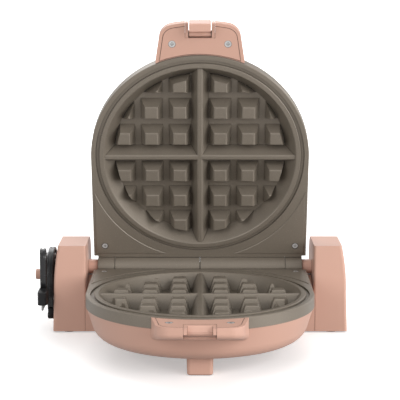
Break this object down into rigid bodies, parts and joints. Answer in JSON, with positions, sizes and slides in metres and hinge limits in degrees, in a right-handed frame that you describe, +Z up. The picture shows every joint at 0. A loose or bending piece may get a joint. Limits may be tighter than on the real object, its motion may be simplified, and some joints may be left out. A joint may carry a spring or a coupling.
{
  "type": "rotating waffle maker",
  "caption": "Rotating waffle maker: grid plates in round-bottomed housings turn on a hinge between the towers of a low stand, with a latch and a cord wound on a side post.",
  "frame": {"origin": "on the table under the middle of the hinge line, at the base's centre pad", "axes": "+Z up, handles towards -Y, hinge line along X"},
  "size_m": [0.2992, 0.2843, 0.297],
  "materials": {
    "pink": "satin",
    "coated": "ceramic non-stick coat, satin",
    "steel": "plain",
    "sheet": "zinc-plated sheet and tube",
    "rubber": "satin",
    "bush": "natural nylon",
    "sensor": "ceramic",
    "lens": "clear tinted"
  },
  "bodies": {
    "base": {"base_housing": "pink", "base_plate": "sheet", "base_screws": "steel", "base_feet": "rubber", "left_bush": "bush", "right_bush": "bush", "cord_spool": "pink", "strain_relief": "rubber", "cord_lead": "rubber", "cord_coil": "rubber", "cord_tail": "rubber", "plug_body": "rubber", "plug_blades": "steel", "supply_wires": "rubber"},
    "lower_half": {"hinge_shaft": "steel", "shaft_washers": "steel", "shaft_clips": "steel", "lower_shell": "pink", "lower_handle_cover": "pink", "lower_foot": "pink", "lower_catch": "pink", "lower_grid_plate": "coated", "lower_corner_screws": "steel", "lower_handle_screws": "steel", "lower_foot_screw": "steel", "lower_reflector": "sheet", "lower_heating_element": "sheet", "lower_leads": "rubber", "lower_thermostat": "sensor", "lower_thermal_fuse": "sensor", "lower_indicator_lenses": "lens"},
    "upper_half": {"upper_shell": "pink", "upper_handle_cover": "pink", "upper_foot": "pink", "upper_latch_carrier": "pink", "upper_grid_plate": "coated", "upper_corner_screws": "steel", "upper_handle_screws": "steel", "upper_foot_screw": "steel", "upper_reflector": "sheet", "upper_heating_element": "sheet", "upper_leads": "rubber", "upper_thermostat": "sensor", "upper_thermal_fuse": "sensor", "upper_indicator_lenses": "lens", "latch_pin": "steel"},
    "latch": {"latch": "pink"}
  },
  "joints": [
    {"name": "head_flip", "type": "hinge", "parent": "base", "child": "lower_half", "pos_m": [0, 0, 0.057], "axis": [-1, 0, 0], "range_deg": [0, 100]},
    {"name": "lid_hinge", "type": "hinge", "parent": "lower_half", "child": "upper_half", "pos_m": [0, 0, 0.057], "axis": [-1, 0, 0], "range_deg": [-72.8, 7.2]},
    {"name": "latch_pivot", "type": "hinge", "parent": "upper_half", "child": "latch", "pos_m": [0, -0.06557, 0.28438], "axis": [-1, 0, 0], "range_deg": [-9, 15]}
  ]
}
